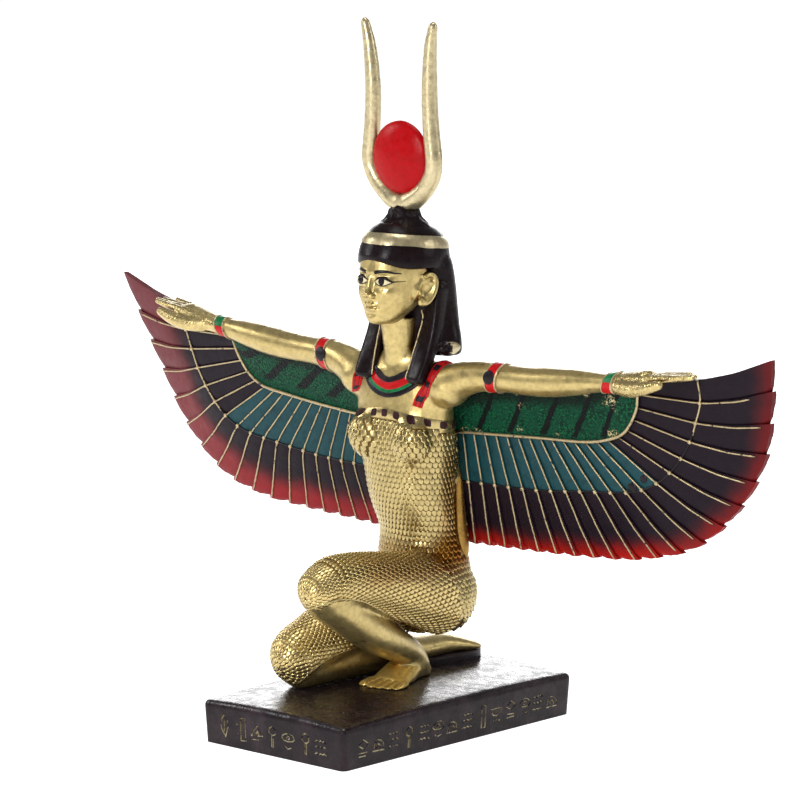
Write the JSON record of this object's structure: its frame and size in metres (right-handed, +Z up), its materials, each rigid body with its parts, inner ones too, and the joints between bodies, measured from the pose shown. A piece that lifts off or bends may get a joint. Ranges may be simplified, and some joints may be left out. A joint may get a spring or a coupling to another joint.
{
  "type": "isis statue",
  "caption": "Kneeling winged goddess figurine with horned sun-disk crown, spread feathered wings and scale-pattern dress, on a dark rectangular plinth.",
  "frame": {"origin": "middle of the plinth's underside", "axes": "+Z up; the figure faces -Y; its left side and left wing are at +X"},
  "size_m": [0.3136, 0.1226, 0.2601],
  "materials": {
    "dark_lacquer": "dark brown-black lacquered resin, satin, with a slightly rough top",
    "skin_gold": "champagne gold metallic paint on cast resin, amber in the recesses",
    "dress_gold": "gold metallic paint on raised scales with darker amber between them",
    "crown_gold": "pale gold metallic paint on cast resin",
    "disk_red": "glossy red enamel paint",
    "wig_black": "glossy near-black brown paint",
    "feather_paint": "purple-black fading to red at the feather ends, gold ribs",
    "covert_teal": "satin teal paint between gold ribs",
    "covert_green": "green stippled paint with slanting black stripes",
    "trim_paint": "red, green and black enamel on bands, collar and straps"
  },
  "bodies": {
    "root": {"plinth": "dark_lacquer", "figure": "skin_gold", "crown": "crown_gold"}
  },
  "joints": []
}
